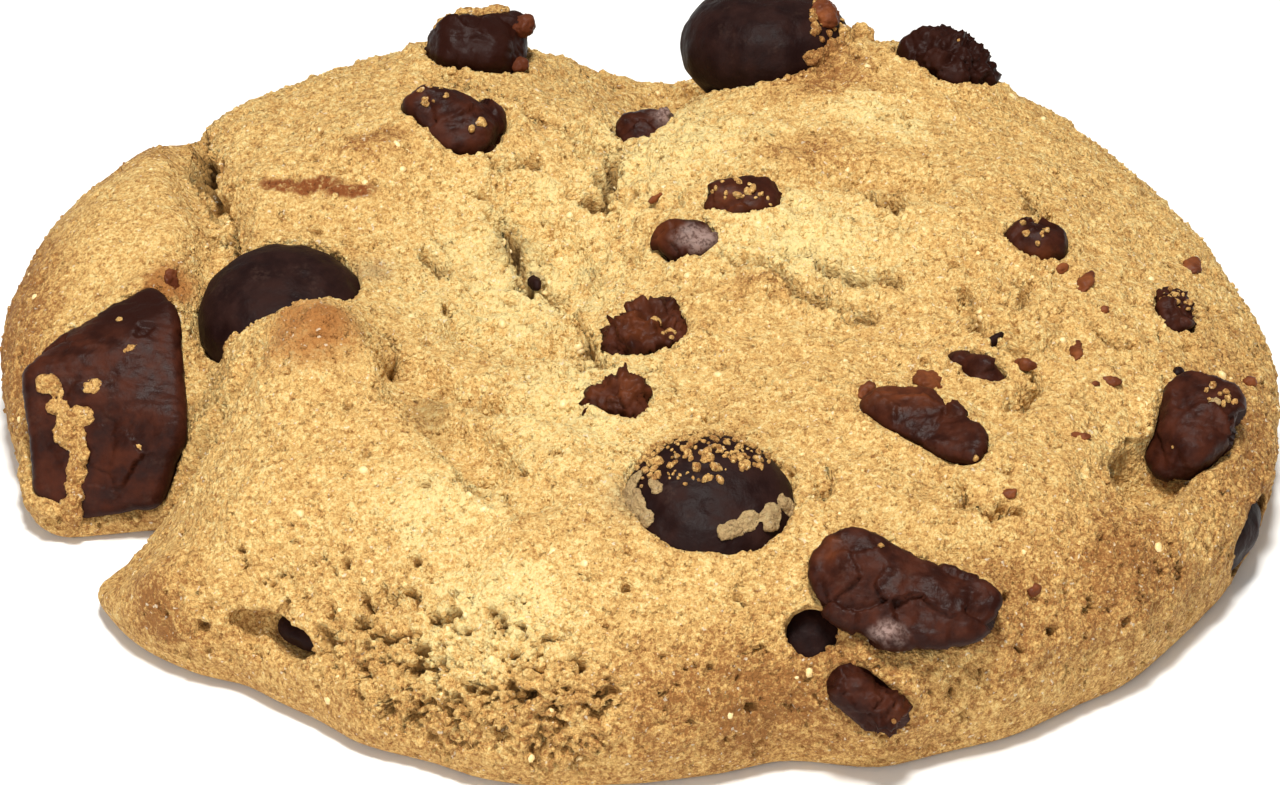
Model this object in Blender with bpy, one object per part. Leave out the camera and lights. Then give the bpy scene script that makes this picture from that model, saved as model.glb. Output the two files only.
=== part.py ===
"""A soft-baked chocolate chip cookie: one lump of dough with chocolate drops and chunks set in it.

The dough is a flat-bottomed round laid out in rings and sectors. Its outline follows measured points
with one deep notch, and its top is a dome with mounds, hollows and fissures. Each piece of chocolate is
a solid of its own, and the dough has a pocket for it.

Run it with: blender --background --python part.py
The frame: +X to the right, +Y away from the viewer, +Z up, origin at the middle of the flat underside.
"""

import math
import random
from collections import namedtuple

import bmesh
import bpy
from mathutils import Euler, Matrix, Vector, noise

MM = 0.001

# Outline of the dough seen from above, in millimetres, with the notch at the left
RIM_POINTS = [
    (38.1, -3.0),
    (38.2, 2.0),
    (37.2, 8.0),
    (34.6, 14.8),
    (30.4, 21.4),
    (24.8, 26.8),
    (18.2, 31.2),
    (10.5, 33.9),
    (2.0, 34.4),
    (-6.0, 34.4),
    (-14.0, 33.2),
    (-21.5, 30.4),
    (-28.0, 25.6),
    (-33.6, 19.6),
    (-37.0, 13.6),
    (-38.6, 8.0),
    (-38.5, 2.5),
    (-37.4, -3.0),
    (-36.4, -7.0),
    (-34.6, -9.0),
    (-30.0, -8.2),
    (-27.2, -8.1),
    (-26.2, -9.6),
    (-27.6, -11.6),
    (-29.8, -12.8),
    (-31.6, -14.4),
    (-31.8, -16.3),
    (-30.2, -19.0),
    (-26.2, -22.7),
    (-22.6, -24.3),
    (-19.2, -27.0),
    (-15.8, -29.8),
    (-12.4, -31.2),
    (-9.0, -32.9),
    (-5.6, -33.8),
    (-1.0, -33.6),
    (4.5, -32.8),
    (8.0, -31.4),
    (14.7, -31.8),
    (18.2, -30.4),
    (21.8, -28.8),
    (25.4, -26.1),
    (29.0, -23.5),
    (32.6, -18.8),
    (35.2, -14.2),
    (37.2, -8.5),
]

# Cross-section of the dough
BODY_HEIGHT = 12.2 * MM
RIM_HEIGHT = 4.8 * MM
FOOT_RIM_HEIGHT = 1.8 * MM
SHOULDER_POWER = 6.0
FOOT_POWER = 3.4
BASE_INSET = 1.5 * MM
FEET = [(-122.0, 34.0), (-156.0, 8.0), (-169.0, 9.0)]
TOE_ANGLE = -154.0
TOE_SPREAD = 10.0
TOE_POWER = 5.5

# Mesh of the dough before it is thinned out, with its sectors closer together round the notch
NOTCH_ANGLE = -161.0
NOTCH_SPREAD = 6.0
NOTCH_DENSITY = 8.0
SECTORS = 260
TOP_RINGS = 56
SIDE_RINGS = 7
BASE_RINGS = 10
DOUGH_FACES = 4800

# Gap left between a piece of chocolate and its pocket
POCKET_GAP = 0.3 * MM

# Pieces of chocolate, in millimetres and degrees: middle, sizes, and turns about X, Y and Z
Chip = namedtuple("Chip", "kind x y z long wide tall lean tip turn")
CHIPS = {
    "drop_left": Chip("drop", -21.2, 1.6, 9.0, 9.8, 9.6, 6.4, 12, 0, 0),
    "drop_centre": Chip("drop", 3.9, -21.2, 10.3, 9.8, 10.2, 6.3, 25, 3, 0),
    "drop_back": Chip("drop", 7.8, 26.2, 13.2, 10.2, 9.6, 6.4, -14, 0, 0),
    "drop_right_edge": Chip("drop", 32.8, -11.3, 3.6, 7.6, 8.6, 5.0, 0, 10, -20),
    "drop_pit": Chip("drop", 9.65, -27.8, 7.1, 3.6, 3.6, 2.4, 50, 0, 0),
    "drop_front_hollow": Chip("drop", -18.9, -23.9, 4.3, 3.9, 2.4, 1.8, 0, 0, -42),
    "chunk_back_rim": Chip("chunk", -10.0, 26.4, 12.3, 6.0, 4.4, 4.6, 20, 8, 12),
    "chunk_back_left": Chip("chunk", -11.3, 16.4, 13.2, 6.2, 4.6, 3.6, 14, 10, -8),
    "chunk_back_right": Chip("chunk", 19.1, 24.0, 12.9, 5.8, 4.4, 4.2, 14, 18, -28),
    "chunk_valley": Chip("chunk", 0.4, 19.3, 11.0, 3.6, 3.0, 2.6, 10, -12, 20),
    "chunk_mid_upper": Chip("chunk", 6.0, 7.1, 13.6, 4.2, 2.6, 2.6, 10, 0, 14),
    "chunk_mid_lower": Chip("chunk", 2.8, 3.5, 13.0, 3.4, 2.6, 2.4, 12, 0, 8),
    "chunk_mid_a": Chip("chunk", 0.4, -4.7, 12.0, 5.0, 3.6, 2.6, 10, 0, 16),
    "chunk_mid_b": Chip("chunk", -1.2, -11.6, 12.0, 3.4, 3.4, 2.4, 10, 0, -25),
    "chunk_small_right": Chip("chunk", 23.5, 3.3, 13.0, 3.4, 2.6, 2.2, 10, 8, -20),
    "shard_small_right": Chip("shard", 19.5, -9.1, 12.4, 4.2, 1.6, 1.8, 10, 8, -30),
    "chip_far_right": Chip("chunk", 31.7, 0.2, 10.1, 2.0, 3.1, 2.2, 6, 20, 0),
    "chunk_back_wall_left": Chip("chunk", -21.6, 29.2, 5.4, 5.6, 3.6, 4.2, -20, 0, 34),
    "drop_back_wall": Chip("drop", 10.0, 32.0, 5.0, 7.6, 6.0, 5.4, -30, 0, -10),
    "chunk_back_wall_right": Chip("chunk", 27.0, 23.8, 4.4, 4.8, 3.4, 3.6, -18, 10, -42),
    "base_chunk_left": Chip("pad", -14.0, 6.0, 1.1, 6.8, 5.0, 2.0, 0, 0, 30),
    "base_chunk_right": Chip("pad", 17.0, 12.0, 1.1, 5.6, 4.4, 2.0, 0, 0, -15),
    "base_drop_front": Chip("drop", 9.0, -13.0, 1.3, 8.4, 8.0, 2.4, 180, 0, 0),
}

# Corners of the larger broken pieces, in millimetres
CORNERS = {
    "chunk_left": [
        (-36.3, -3.6, 8.6),
        (-31.4, -3.0, 9.6),
        (-27.6, 0.0, 10.9),
        (-26.9, -7.0, 6.8),
        (-28.6, -8.5, 2.5),
        (-33.0, -8.6, 1.8),
        (-35.5, -7.5, 2.6),
        (-29.1, 2.2, 10.8),
        (-34.2, 0.0, 8.6),
        (-35.4, -3.0, 2.2),
        (-29.6, 2.6, 5.0),
        (-27.4, -4.0, 2.2),
    ],
    "shard_right": [
        (12.5, -13.0, 13.0),
        (14.0, -12.0, 13.3),
        (16.9, -12.4, 13.5),
        (19.7, -16.1, 13.1),
        (19.3, -18.2, 12.3),
        (17.1, -17.2, 12.2),
        (14.2, -15.0, 12.3),
        (14.0, -13.0, 11.4),
        (17.2, -13.6, 11.2),
        (18.8, -16.8, 11.0),
    ],
    "shard_front": [
        (10.6, -25.9, 12.6),
        (12.1, -25.5, 12.8),
        (13.3, -25.9, 12.6),
        (19.7, -28.3, 10.8),
        (20.2, -28.9, 10.4),
        (19.7, -29.7, 9.8),
        (18.8, -30.6, 9.1),
        (16.7, -30.9, 8.9),
        (13.9, -30.9, 8.9),
        (9.9, -29.2, 10.2),
        (9.5, -27.9, 11.1),
        (9.6, -26.7, 11.9),
        (12.7, -27.6, 12.1),
        (17.6, -29.1, 11.0),
        (11.4, -25.4, 8.6),
        (18.4, -27.0, 7.8),
        (14.2, -28.2, 7.2),
    ],
    "chunk_front": [
        (10.6, -31.7, 6.8),
        (11.5, -31.5, 7.3),
        (12.3, -31.6, 7.1),
        (14.1, -32.0, 5.8),
        (14.8, -32.2, 4.9),
        (14.5, -32.5, 3.9),
        (13.2, -32.6, 3.7),
        (12.3, -32.4, 4.0),
        (10.7, -32.0, 6.0),
        (11.9, -32.6, 6.3),
        (13.6, -33.0, 4.8),
        (11.6, -29.6, 5.6),
        (13.9, -29.8, 3.6),
        (13.0, -29.4, 6.2),
    ],
    "chunk_right": [
        (31.9, -7.5, 11.4),
        (34.8, -8.8, 10.9),
        (34.9, -9.8, 10.6),
        (34.3, -11.7, 10.1),
        (32.4, -13.6, 9.5),
        (31.6, -13.1, 9.9),
        (30.7, -10.9, 10.6),
        (31.0, -8.8, 11.1),
        (33.0, -10.4, 11.2),
        (31.9, -13.4, 8.0),
        (30.8, -13.5, 7.8),
        (29.9, -13.0, 8.0),
        (29.4, -12.0, 8.3),
        (29.8, -10.3, 8.8),
        (31.4, -9.0, 7.6),
        (33.8, -9.6, 7.7),
        (32.6, -12.4, 7.4),
    ],
}

# Holes in the dough: under the front mound's edge, beside the right chunk, and over a sunken drop
HOLES = {
    "hole_front_left": Chip("drop", -20.6, -24.1, 4.5, 6.8, 3.8, 2.1, 0, 0, -38),
    "hole_right": Chip("drop", 29.5, -14.4, 8.9, 6.6, 4.2, 5.1, 0, 0, 50),
    "hole_front": Chip("drop", 9.65, -29.5, 8.5, 2.9, 2.9, 6.0, 50, 0, 0),
}

# Shape of the drops and of the broken pieces
DROP_SECTORS = 14
DROP_RINGS = 8
DROP_FLATNESS = 0.72
CHUNK_POINTS = 15
CHUNK_BOXINESS = {"chunk": 0.7, "shard": 0.45, "pad": 0.6}
PAD_FLAT_BELOW = -0.25
EDGE_ROUNDING = 0.22 * MM
WELD = 0.02 * MM

# Mounds and hollows of the top: place, half sizes, turn in degrees, height
Mound = namedtuple("Mound", "x y long wide turn height")
MOUNDS = {
    "right_dome": Mound(14 * MM, 9 * MM, 19 * MM, 18 * MM, 0, 2.4 * MM),
    "right_back_shoulder": Mound(14 * MM, 28 * MM, 12 * MM, 7 * MM, -25, 2.8 * MM),
    "left_back_shoulder": Mound(-16 * MM, 27 * MM, 13 * MM, 6 * MM, 28, 1.6 * MM),
    "far_right_slope": Mound(35 * MM, 2 * MM, 7 * MM, 18 * MM, 0, -1.8 * MM),
    "front_left_mound": Mound(-14 * MM, -18 * MM, 11 * MM, 10 * MM, -40, 1.8 * MM),
    "mound_peak": Mound(-19.3 * MM, -6.8 * MM, 4.4 * MM, 3.9 * MM, 60, 3.9 * MM),
    "back_left_mound": Mound(-14 * MM, 16 * MM, 9 * MM, 7 * MM, 10, 2.0 * MM),
    "blister": Mound(-16 * MM, 13 * MM, 4 * MM, 3 * MM, 20, 0.9 * MM),
    "middle_hollow": Mound(-8 * MM, 2 * MM, 8 * MM, 11 * MM, 0, -2.6 * MM),
    "back_gap": Mound(1.2 * MM, 30 * MM, 5.6 * MM, 7 * MM, -8, -5.8 * MM),
    "left_slope": Mound(-33 * MM, -8 * MM, 6 * MM, 9 * MM, 0, -5.6 * MM),
    "chunk_ledge": Mound(-32 * MM, -7.6 * MM, 5 * MM, 3 * MM, 0, -2.5 * MM),
    "toe": Mound(-31 * MM, -15 * MM, 6.5 * MM, 5 * MM, 30, -7.6 * MM),
    "left_lobe_rise": Mound(-32 * MM, 14 * MM, 7 * MM, 9 * MM, 0, 1.2 * MM),
    "front_left_scoop": Mound(-21.5 * MM, -24.6 * MM, 4 * MM, 2.4 * MM, 30, -1.8 * MM),
    "toe_furrow": Mound(-25.4 * MM, -18.6 * MM, 3.4 * MM, 1.6 * MM, -60, -1.8 * MM),
    "chunk_socket": Mound(29 * MM, -15.5 * MM, 4.6 * MM, 2.2 * MM, 62, -1.8 * MM),
    "right_front_swell": Mound(20 * MM, -20 * MM, 7 * MM, 5 * MM, 20, 0.9 * MM),
    "shard_seat": Mound(14.2 * MM, -30.8 * MM, 6.0 * MM, 2.2 * MM, 6, -1.7 * MM),
    "front_middle": Mound(-2 * MM, -27 * MM, 8 * MM, 5 * MM, 0, 0.6 * MM),
    "drop_shelf": Mound(-22 * MM, 3 * MM, 5 * MM, 4 * MM, 0, -2.0 * MM),
}

# Fissures of the top: points along each, half width, and depth at its two ends
Fissure = namedtuple("Fissure", "points half_width depth_first depth_last")
FISSURES = {
    "left_lobe": Fissure(
        [(-28.4, 24.5), (-27.0, 14.5), (-25.4, 8.5), (-25.6, 1.0), (-26.0, -4.0), (-26.8, -8.4)],
        1.5 * MM,
        2.0 * MM,
        3.4 * MM,
    ),
    "middle_valley": Fissure(
        [(3.4, 29.0), (-1.0, 19.0), (-2.4, 11.0), (-2.8, 2.0)],
        2.2 * MM,
        2.4 * MM,
        0.6 * MM,
    ),
    "mound_foot": Fissure(
        [(-15.0, -4.5), (-12.2, -10.5), (-9.5, -16.0), (-6.0, -21.0)],
        1.6 * MM,
        1.0 * MM,
        1.2 * MM,
    ),
    "right_fold": Fissure(
        [(26.0, -6.0), (21.0, -12.5), (19.0, -16.0), (16.5, -20.0)],
        1.3 * MM,
        0.5 * MM,
        1.0 * MM,
    ),
}

# Uneven rise of the dough, drawn from a fixed noise field
SWELL_SIZE = 9 * MM
SWELL_HEIGHT = 0.55 * MM
RIPPLE_SIZE = 3.2 * MM
RIPPLE_HEIGHT = 0.22 * MM
RIM_WOBBLE = 0.25 * MM


def smooth_bump(distance):
    """1 at distance 0, falling smoothly like a bell."""
    return math.exp(-distance * distance)


def turned(x, y, degrees):
    angle = math.radians(degrees)
    return x * math.cos(angle) + y * math.sin(angle), y * math.cos(angle) - x * math.sin(angle)


def angle_between(first, second):
    """Degrees from second to first, between -180 and 180."""
    return (first - second + 180) % 360 - 180


def rim_knots():
    """Angle and radius of each outline point, in order of angle, going once round and a little past."""
    knots = sorted((math.degrees(math.atan2(y, x)), math.hypot(x, y) * MM) for x, y in RIM_POINTS)
    before = [(angle - 360, radius) for angle, radius in knots[-2:]]
    after = [(angle + 360, radius) for angle, radius in knots[:2]]
    return before + knots + after


def slope_at(knots, index):
    """Slope of the outline's radius at a knot, level where the radius turns back."""
    run_in = (knots[index][1] - knots[index - 1][1]) / (knots[index][0] - knots[index - 1][0])
    run_out = (knots[index + 1][1] - knots[index][1]) / (knots[index + 1][0] - knots[index][0])
    if run_in * run_out <= 0:
        return 0
    return 2 * run_in * run_out / (run_in + run_out)


def rim_radius(angle):
    """Distance from the origin to the outline, at an angle in degrees."""
    knots = RIM_KNOTS
    index = max(i for i in range(1, len(knots) - 2) if knots[i][0] <= angle or i == 1)
    width = knots[index + 1][0] - knots[index][0]
    share = (angle - knots[index][0]) / width
    ends = (1 + 2 * share) * (1 - share) ** 2 * knots[index][1] + share**2 * (3 - 2 * share) * knots[index + 1][1]
    slopes = share * (1 - share) ** 2 * slope_at(knots, index) - share**2 * (1 - share) * slope_at(knots, index + 1)
    wave = Vector((math.cos(math.radians(angle)), math.sin(math.radians(angle)), 0.3)) * 6
    return ends + slopes * width + RIM_WOBBLE * noise.noise(wave)


RIM_KNOTS = rim_knots()


def distance_to_path(x, y, points):
    """The distance to a broken line given in millimetres, and how far along it that is, from 0 to 1."""
    place = Vector((x, y))
    best = (1e9, 0.0)
    spans = len(points) - 1
    for index in range(spans):
        start = Vector(points[index]) * MM
        run = Vector(points[index + 1]) * MM - start
        share = min(1, max(0, (place - start).dot(run) / run.length_squared))
        best = min(best, ((place - start - run * share).length, (index + share) / spans))
    return best


def body_height(x, y):
    """Height of the dough's top before it rounds over at the rim."""
    height = BODY_HEIGHT
    for mound in MOUNDS.values():
        along, across = turned(x - mound.x, y - mound.y, mound.turn)
        height += mound.height * smooth_bump(math.hypot(along / mound.long, across / mound.wide))
    for fissure in FISSURES.values():
        away, share = distance_to_path(x, y, fissure.points)
        depth = fissure.depth_first + (fissure.depth_last - fissure.depth_first) * share
        height -= depth * smooth_bump(away / fissure.half_width)
    height += SWELL_HEIGHT * noise.noise(Vector((x, y, 0)) / SWELL_SIZE)
    height += RIPPLE_HEIGHT * noise.noise(Vector((x, y, 0.02)) / RIPPLE_SIZE)
    return height


def sector_angles():
    """Angles of the sectors, set closer together round the notch."""
    weights = []
    for index in range(SECTORS):
        angle = -180 + 360 * index / SECTORS
        weights.append(1 / (1 + NOTCH_DENSITY * smooth_bump(angle_between(angle, NOTCH_ANGLE) / NOTCH_SPREAD)))
    scale = 360 / sum(weights)
    angles = [-180.0]
    for weight in weights[:-1]:
        angles.append(angles[-1] + weight * scale)
    return angles


def section_points(angle):
    """Points of the dough's section at one angle, from the top's middle out and round to the base's middle."""
    radius = rim_radius(angle)
    foot = min(1, sum(smooth_bump(angle_between(angle, middle) / spread) for middle, spread in FEET))
    rim_height = RIM_HEIGHT + (FOOT_RIM_HEIGHT - RIM_HEIGHT) * foot
    power = SHOULDER_POWER + (FOOT_POWER - SHOULDER_POWER) * foot
    power += TOE_POWER * smooth_bump(angle_between(angle, TOE_ANGLE) / TOE_SPREAD)
    across, up = math.cos(math.radians(angle)), math.sin(math.radians(angle))
    points = []
    for ring in range(1, TOP_RINGS + 1):
        sweep = math.pi / 2 * (ring / TOP_RINGS) ** (power / 2)
        reach = radius * math.sin(sweep) ** (2 / power)
        x, y = reach * across, reach * up
        height = rim_height + (body_height(x, y) - rim_height) * math.cos(sweep)
        points.append(Vector((x, y, height)))
    for ring in range(1, SIDE_RINGS + 1):
        sweep = math.pi / 2 * ring / SIDE_RINGS
        reach = radius - BASE_INSET * (1 - math.cos(sweep))
        points.append(Vector((reach * across, reach * up, rim_height * (1 - math.sin(sweep)))))
    base_radius = radius - BASE_INSET
    for ring in range(1, BASE_RINGS):
        reach = base_radius * (1 - ring / BASE_RINGS)
        points.append(Vector((reach * across, reach * up, 0)))
    return points


def new_object(name, mesh_builder):
    mesh = bpy.data.meshes.new(name)
    bm = bmesh.new()
    mesh_builder(bm)
    bmesh.ops.recalc_face_normals(bm, faces=bm.faces)
    bm.to_mesh(mesh)
    bm.free()
    obj = bpy.data.objects.new(name, mesh)
    bpy.context.scene.collection.objects.link(obj)
    return obj


def build_dough(bm):
    top = bm.verts.new((0, 0, body_height(0, 0)))
    base = bm.verts.new((0, 0, 0))
    columns = [[bm.verts.new(p) for p in section_points(angle)] for angle in sector_angles()]
    for index, column in enumerate(columns):
        beside = columns[(index + 1) % len(columns)]
        bm.faces.new((top, column[0], beside[0]))
        for low in range(len(column) - 1):
            bm.faces.new((column[low], column[low + 1], beside[low + 1], beside[low]))
        bm.faces.new((base, beside[-1], column[-1]))


def drop_points(rows, columns):
    """Points of a chocolate drop inside a cube of side 1: domed above, flatter below."""
    points = [[Vector((0, 0, 0.5))]]
    for row in range(1, rows):
        sweep = math.pi * row / rows
        reach = 0.5 * math.sin(sweep) ** DROP_FLATNESS
        height = 0.5 * math.cos(sweep)
        spokes = (2 * math.pi * column / columns for column in range(columns))
        points.append([Vector((reach * math.cos(spoke), reach * math.sin(spoke), height)) for spoke in spokes])
    points.append([Vector((0, 0, -0.5))])
    return points


def chunk_points(name, kind):
    """Points of a broken piece inside a cube of side 1, drawn from the piece's own name."""
    draw = random.Random(name)
    points = []
    for index in range(CHUNK_POINTS):
        # A spiral spreads the points evenly, and the draw unsettles them
        height = 1 - (2 * index + 1) / CHUNK_POINTS
        around = index * math.pi * (3 - math.sqrt(5))
        flat = math.sqrt(1 - height * height)
        point = Vector((flat * math.cos(around), flat * math.sin(around), height))
        point += Vector([draw.uniform(-0.3, 0.3) for axis in range(3)])
        point /= max(abs(c) for c in point) ** CHUNK_BOXINESS[kind]
        if kind == "pad":
            point.z = max(point.z, PAD_FLAT_BELOW)
        points.append(point)
    return fitted_to_cube(points)


def fitted_to_cube(points):
    low = Vector([min(p[axis] for p in points) for axis in range(3)])
    high = Vector([max(p[axis] for p in points) for axis in range(3)])
    return [Vector([(p[a] - low[a]) / (high[a] - low[a]) - 0.5 for a in range(3)]) for p in points]


def add_drop(bm):
    rows = [[bm.verts.new(p) for p in row] for row in drop_points(DROP_RINGS, DROP_SECTORS)]
    for upper, lower in zip(rows, rows[1:]):
        for column in range(DROP_SECTORS):
            beside = (column + 1) % DROP_SECTORS
            corners = [upper[column % len(upper)], lower[column % len(lower)]]
            corners += [lower[beside % len(lower)], upper[beside % len(upper)]]
            bm.faces.new(dict.fromkeys(corners))


def add_hull(bm, points):
    """The convex hull of the points, with no vertex left inside it."""
    for point in points:
        bm.verts.new(point)
    bmesh.ops.convex_hull(bm, input=bm.verts)
    loose = [v for v in bm.verts if not v.link_faces]
    bmesh.ops.delete(bm, geom=loose, context="VERTS")


def chip_box(name):
    """Sizes of a piece of chocolate, or of a hole, and the matrix that places it."""
    if name in CORNERS:
        low = Vector([min(c[axis] for c in CORNERS[name]) for axis in range(3)])
        high = Vector([max(c[axis] for c in CORNERS[name]) for axis in range(3)])
        return (high - low) * MM, Matrix.Translation((high + low) / 2 * MM)
    chip = CHIPS[name] if name in CHIPS else HOLES[name]
    angles = Euler([math.radians(a) for a in (chip.lean, chip.tip, chip.turn)], "XYZ")
    place = Matrix.Translation(Vector((chip.x, chip.y, chip.z)) * MM)
    return Vector((chip.long, chip.wide, chip.tall)) * MM, place @ angles.to_matrix().to_4x4()


def build_chip(bm, name, grow, rounding):
    """A piece of chocolate, or a hole, grown on every side, with the edges of a broken piece rounded."""
    kind = CHIPS[name].kind if name in CHIPS else "corners" if name in CORNERS else "drop"
    if kind == "corners":
        add_hull(bm, fitted_to_cube([Vector(c) for c in CORNERS[name]]))
    elif kind == "drop":
        add_drop(bm)
    else:
        add_hull(bm, chunk_points(name, kind))
    sizes, place = chip_box(name)
    bmesh.ops.scale(bm, vec=sizes + Vector((2, 2, 2)) * grow, verts=bm.verts)
    if rounding and kind != "drop":
        bmesh.ops.bevel(
            bm, geom=bm.edges, offset=rounding, offset_type="OFFSET", segments=1, profile=0.5, affect="EDGES"
        )
        # A short edge can be rounded past its end, so the outermost points are wrapped again
        rounded = [vert.co.copy() for vert in bm.verts]
        bm.clear()
        add_hull(bm, rounded)
        bmesh.ops.remove_doubles(bm, verts=bm.verts, dist=WELD)
    bmesh.ops.transform(bm, matrix=place, verts=bm.verts)


def add_material(obj, name, colour, roughness):
    material = bpy.data.materials.get(name) or bpy.data.materials.new(name)
    material.use_nodes = True
    shader = material.node_tree.nodes["Principled BSDF"]
    shader.inputs["Base Color"].default_value = (*colour, 1)
    shader.inputs["Roughness"].default_value = roughness
    shader.inputs["Metallic"].default_value = 0
    obj.data.materials.append(material)


def main():
    for obj in list(bpy.data.objects):
        bpy.data.objects.remove(obj)
    dough = new_object("cookie_dough", build_dough)
    thin = dough.modifiers.new("thin_out", "DECIMATE")
    thin.ratio = DOUGH_FACES / (2 * SECTORS * (TOP_RINGS + SIDE_RINGS + BASE_RINGS))
    add_material(dough, "baked_dough", (0.62, 0.36, 0.13), 0.85)

    pockets = bpy.data.collections.new("pockets")
    bpy.context.scene.collection.children.link(pockets)
    for name in [*CHIPS, *CORNERS]:
        chip = new_object(name, lambda bm: build_chip(bm, name, 0, EDGE_ROUNDING))
        if name.startswith(("drop", "base_drop")):
            add_material(chip, "dark_chocolate", (0.03, 0.014, 0.012), 0.4)
        else:
            add_material(chip, "brown_chocolate", (0.09, 0.03, 0.015), 0.35)
        chip.data.shade_smooth()
        chip.data.set_sharp_from_angle(angle=math.radians(25))
    for name in [*CHIPS, *CORNERS, *HOLES]:
        gap = 0 if name in HOLES else POCKET_GAP
        cutter = new_object("pocket_" + name, lambda bm: build_chip(bm, name, gap, 0))
        bpy.context.scene.collection.objects.unlink(cutter)
        pockets.objects.link(cutter)
        cutter.hide_render = True
        cutter.display_type = "WIRE"
    cut = dough.modifiers.new("pockets", "BOOLEAN")
    cut.operand_type = "COLLECTION"
    cut.collection = pockets
    cut.solver = "EXACT"
    dough.data.shade_smooth()


main()
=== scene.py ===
import math

import bpy
from mathutils import Matrix, Vector


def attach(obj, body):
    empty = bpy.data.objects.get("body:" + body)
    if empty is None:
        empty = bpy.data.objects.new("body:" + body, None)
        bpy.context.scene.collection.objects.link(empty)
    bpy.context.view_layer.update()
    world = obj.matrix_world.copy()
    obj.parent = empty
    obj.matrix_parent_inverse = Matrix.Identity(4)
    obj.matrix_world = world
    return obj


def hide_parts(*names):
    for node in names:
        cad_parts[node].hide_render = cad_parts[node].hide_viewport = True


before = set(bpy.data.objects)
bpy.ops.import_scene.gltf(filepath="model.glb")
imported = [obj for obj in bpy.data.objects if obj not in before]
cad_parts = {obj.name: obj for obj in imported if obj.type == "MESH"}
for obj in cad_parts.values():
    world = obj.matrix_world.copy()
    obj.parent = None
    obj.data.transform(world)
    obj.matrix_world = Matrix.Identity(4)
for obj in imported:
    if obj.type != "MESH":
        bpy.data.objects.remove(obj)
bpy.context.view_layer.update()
mm = 0.001


# Node helpers, for Geometry Nodes and for materials alike


class Wire:  # one output socket; sums on it add their own Math nodes
    def __init__(self, graph, socket):
        self.graph = graph
        self.socket = socket

    def maths(self, operation, *values):
        flow = [v for v in values if isinstance(v, Wire)]
        if any(v.socket.type in ("VECTOR", "RGBA") for v in flow):
            values = [(v, v, v) if isinstance(v, (int, float)) else v for v in values]
            return self.graph.add("ShaderNodeVectorMath", {"operation": operation}, dict(enumerate(values)))
        return self.graph.add("ShaderNodeMath", {"operation": operation}, dict(enumerate(values)))

    def __add__(self, other):
        return self.maths("ADD", self, other)

    def __radd__(self, other):
        return self.maths("ADD", other, self)

    def __sub__(self, other):
        return self.maths("SUBTRACT", self, other)

    def __rsub__(self, other):
        return self.maths("SUBTRACT", other, self)

    def __mul__(self, other):
        return self.maths("MULTIPLY", self, other)

    def __truediv__(self, other):
        return self.maths("DIVIDE", self, other)

    def least(self, other):
        return self.maths("MINIMUM", self, other)

    def most(self, other):
        return self.maths("MAXIMUM", self, other)

    def length(self):
        return self.graph.add("ShaderNodeVectorMath", {"operation": "LENGTH"}, {0: self}, "Value")

    def other(self, output):  # another output of the same node
        return Wire(self.graph, self.socket.node.outputs[output])


class Graph:  # a node tree, with one method that adds any node
    def __init__(self, tree):
        self.tree = tree

    def add(self, kind, settings=None, inputs=None, output=0):
        node = self.tree.nodes.new(kind)
        for name, value in (settings or {}).items():
            if name == "stops":
                ramp = node.color_ramp
                while len(ramp.elements) < len(value):
                    ramp.elements.new(0.5)
                for element, (place, colour) in zip(ramp.elements, value):
                    element.position = place
                    element.color = (*colour, 1)
            else:
                setattr(node, name, value)
        for name, value in (inputs or {}).items():
            if isinstance(value, Wire):
                self.tree.links.new(value.socket, node.inputs[name])
            else:
                node.inputs[name].default_value = value
        return Wire(self, node.outputs[output])

    def fade(self, value, low, high, start=0.0, end=1.0):  # eases from start to end between low and high
        settings = {"interpolation_type": "SMOOTHSTEP"}
        inputs = {"Value": value, "From Min": low, "From Max": high, "To Min": start, "To Max": end}
        return self.add("ShaderNodeMapRange", settings, inputs)

    def noise(self, place, scale, detail=2.0, roughness=0.5, output="Fac"):  # Fac is 0 to 1, about 0.5
        inputs = {"Vector": place, "Scale": scale, "Detail": detail, "Roughness": roughness}
        return self.add("ShaderNodeTexNoise", None, inputs, output)

    def cells(self, place, scale, output="Distance"):  # Distance is 0 at each cell's middle
        return self.add("ShaderNodeTexVoronoi", None, {"Vector": place, "Scale": scale}, output)

    def blob(self, place, middle, sizes, soft=1.0):  # 1 at the middle of an ellipsoid, 0 outside it
        away = ((place - middle) / sizes).length()
        return self.fade(away, 1.0 - soft, 1.0, 1.0, 0.0)

    def blobs(self, place, spots, soft=1.0):  # the strongest of several blobs
        total = self.blob(place, spots[0][:3], spots[0][3:], soft)
        for spot in spots[1:]:
            total = total.most(self.blob(place, spot[:3], spot[3:], soft))
        return total

    def dot(self, first, second):
        return self.add("ShaderNodeVectorMath", {"operation": "DOT_PRODUCT"}, {0: first, 1: second}, "Value")

    def channel(self, colour, index):
        return self.add("ShaderNodeSeparateXYZ", None, {0: colour}, index)

    def mix(self, factor, first, second):  # colours
        settings = {"data_type": "RGBA", "clamp_factor": True}
        first = first if isinstance(first, Wire) else (*first, 1)
        second = second if isinstance(second, Wire) else (*second, 1)
        return self.add("ShaderNodeMix", settings, {0: factor, 6: first, 7: second}, 2)

    def ramp(self, value, stops):
        return self.add("ShaderNodeValToRGB", {"stops": stops}, {0: value}, "Color")


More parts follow.
